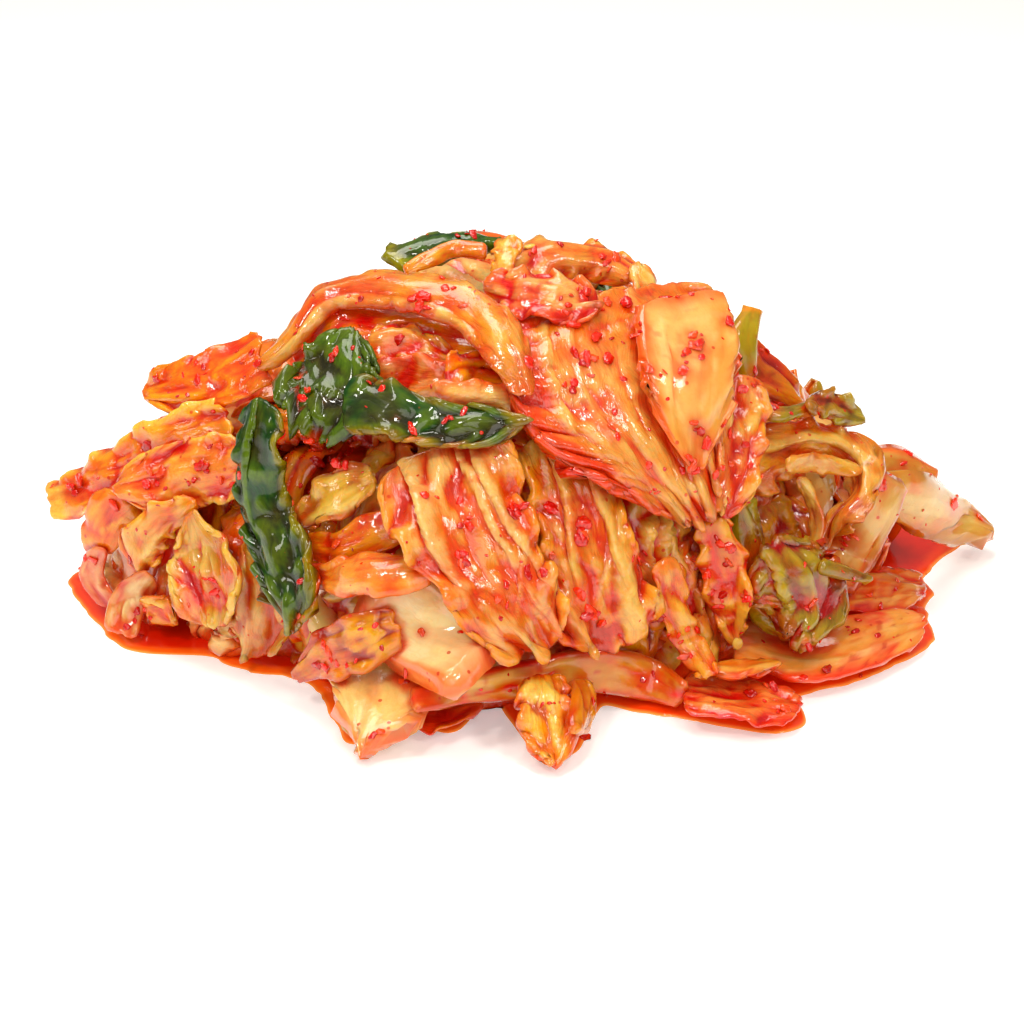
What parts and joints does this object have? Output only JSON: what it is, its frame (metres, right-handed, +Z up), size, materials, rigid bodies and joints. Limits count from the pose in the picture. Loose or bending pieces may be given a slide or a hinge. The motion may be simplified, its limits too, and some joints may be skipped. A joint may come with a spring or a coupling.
{
  "type": "kimchi",
  "caption": "Heap of napa cabbage kimchi: wilted orange leaves, pale stems and a dark green leaf, piled on a low puddle of red chili juice.",
  "frame": {"origin": "centre of the heap's bounding box, on the surface it stands on", "axes": "+X along the heap's longest extent, to the right seen from its front; +Y to its back; +Z up"},
  "size_m": [0.1784, 0.1286, 0.0719],
  "materials": {
    "heap": "wet, glossy, translucent tangle of leaves coated in chili sauce",
    "juice": "thin clear red-orange liquid",
    "leaf": "wet, glossy, translucent cabbage leaf",
    "leaf_orange": "wet, glossy leaf stained orange by chili",
    "stem": "wet, satin, translucent pale cabbage stem",
    "leaf_green": "wet, glossy dark green leaf",
    "leaf_olive": "wet, glossy yellow-green leaf and stalk",
    "chili": "wet red chili flakes"
  },
  "bodies": {
    "root": {"heap": "heap", "juice": "juice", "stem_behind_right": "stem", "wedge_right": "stem", "tongue_upper_left": "leaf_orange", "roll_top_right": "leaf", "roll_top_green": "leaf_green", "strip_top_orange": "leaf_orange", "tuft_top": "leaf", "tuft_top_right": "leaf", "strip_yellow_right": "leaf", "leaf_upper_right": "leaf_orange", "stick_right": "stem", "tongue_left": "leaf_orange", "leaf_fold_left": "leaf_orange", "tongue_left_low": "leaf_orange", "leaf_curl_left": "leaf", "strip_pink_left": "stem", "strip_white_left": "stem", "leaf_small_left": "leaf", "leaf_low_left": "leaf", "leaf_cup_left": "leaf", "slab_back_right": "stem", "stem_diagonal_right": "stem", "roll_right": "leaf", "tongue_roll_right": "leaf_orange", "strip_hang_right": "leaf", "stem_green_right": "leaf_olive", "leaf_tip_green_right": "leaf_olive", "slab_flat_right": "stem", "stem_green_low": "leaf_olive", "leaf_crumple_right": "leaf_olive", "leaf_red_low_right": "leaf_orange", "stick_low_right": "stem", "leaf_dark_low": "leaf_orange", "slab_low_front": "stem", "strip_long_front": "stem", "leaf_bit_front": "leaf", "leaf_folds_upper": "leaf", "leaf_pink_upper": "leaf", "leaf_crumple_upper": "leaf", "band_cream_upper": "leaf", "leaf_ribbed_left": "leaf", "leaf_fold_orange": "leaf_orange", "stem_slab_front": "stem", "tongue_front": "leaf_orange", "leaf_brown_front": "leaf_orange", "leaf_frill_right": "leaf", "leaf_orange_right": "leaf_orange", "strip_right_centre": "leaf", "leaf_frill_left": "leaf", "leaf_side_right": "leaf", "leaf_fan": "leaf", "leaf_arch": "leaf", "stem_slab_top": "stem", "green_leaf_upper": "leaf_green", "green_leaf_blade": "leaf_green", "green_leaf_branch": "leaf_green"}
  },
  "joints": []
}
